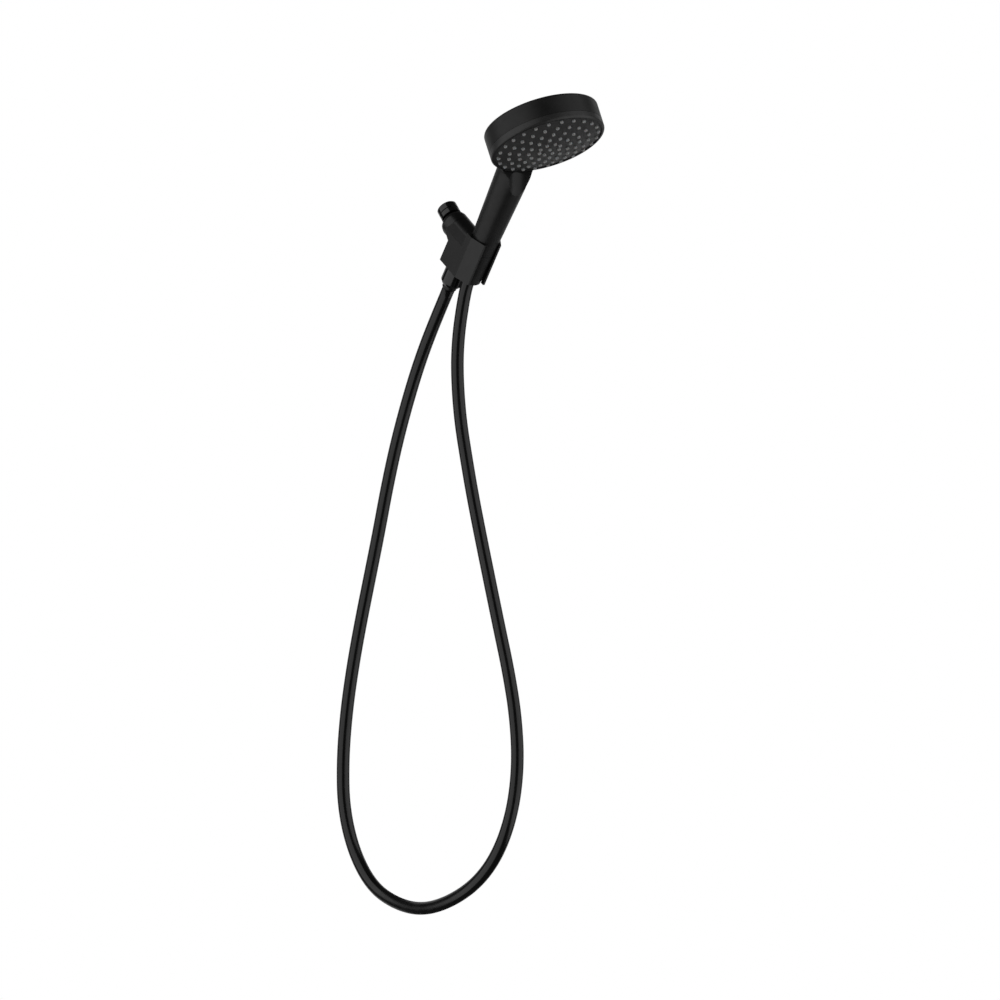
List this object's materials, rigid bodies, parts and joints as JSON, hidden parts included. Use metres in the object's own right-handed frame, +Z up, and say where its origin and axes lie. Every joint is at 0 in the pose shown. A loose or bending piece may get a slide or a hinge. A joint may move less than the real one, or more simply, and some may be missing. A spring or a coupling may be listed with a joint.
{
  "type": "handheld shower head",
  "caption": "Handheld shower head with a round turning spray face, resting in a ball-jointed pipe bracket, with the flexible hose that joins the two in one hanging loop.",
  "frame": {"origin": "on the inlet spigot's axis, 1 mm inside its free end, where the pipe screws on", "axes": "+Z up; the spray face and the handle lean towards -Y; X is the width, and the handset, bracket and hose loop lie in the plane X = 0"},
  "size_m": [0.12, 0.4024, 0.8322],
  "materials": {
    "handset_black": "satin",
    "ring_black": "satin",
    "face_black": "fine matt",
    "nozzle_grey": "matt silicone",
    "bracket_black": "satin lacquer",
    "gloss_black_brass": "gloss black plating",
    "black_ferrule": "satin black",
    "hose_black": "smooth satin",
    "brass": "turned",
    "seal_rubber": "matt",
    "white_plastic": "moulded",
    "screw_steel": "bright"
  },
  "bodies": {
    "pipe_connection": {"inlet_nipple": "gloss_black_brass", "inlet_filter": "white_plastic"},
    "ball_swivel": {"ball_liner": "white_plastic"},
    "bracket": {"ball_joint_nut": "bracket_black", "ball_seal": "seal_rubber", "bracket_body": "bracket_black", "outlet_nipple": "brass", "check_valve": "white_plastic", "hose_nut": "gloss_black_brass", "hose_nut_washer": "seal_rubber", "hose_tail_bracket": "brass", "hose_ferrule_bracket": "black_ferrule", "hose": "hose_black"},
    "hose_end": {"hose_ferrule_handle": "black_ferrule", "hose_tail_handle": "brass", "cone_nut_washer": "seal_rubber", "swivel_ring": "white_plastic"},
    "handset": {"cone_nut": "handset_black", "handle_connector": "white_plastic", "connector_seal": "seal_rubber", "flow_regulator": "white_plastic", "waterway_tube": "white_plastic", "handset_shell": "handset_black", "manifold": "white_plastic", "manifold_screws": "screw_steel", "chamber_seal": "seal_rubber", "detent_spring": "screw_steel", "detent_ball": "screw_steel", "centre_screw": "screw_steel"},
    "spray_head": {"distributor": "white_plastic", "selector_ring": "ring_black", "spray_face": "face_black", "nozzle_mat": "nozzle_grey"}
  },
  "joints": [
    {"name": "ball_turn", "type": "hinge", "parent": "pipe_connection", "child": "ball_swivel", "pos_m": [0, -0.0169, -0.01842], "axis": [0, -0.6761, -0.7368], "range_deg": [-60, 60]},
    {"name": "ball_tilt", "type": "hinge", "parent": "ball_swivel", "child": "bracket", "pos_m": [0, -0.0169, -0.01842], "axis": [1, 0, 0], "range_deg": [-2.6, 27.3]},
    {"name": "handset_lift", "type": "slide", "parent": "bracket", "child": "hose_end", "axis": [0, -0.575, 0.8181], "range_m": [0, 0.07]},
    {"name": "handset_turn", "type": "hinge", "parent": "hose_end", "child": "handset", "pos_m": [0, -0.05776, -0.04059], "axis": [0, -0.575, 0.8181], "continuous": true},
    {"name": "spray_select", "type": "hinge", "parent": "handset", "child": "spray_head", "pos_m": [0, -0.15635, 0.08942], "axis": [0, -0.4664, -0.8846], "range_deg": [-60, 60]}
  ]
}
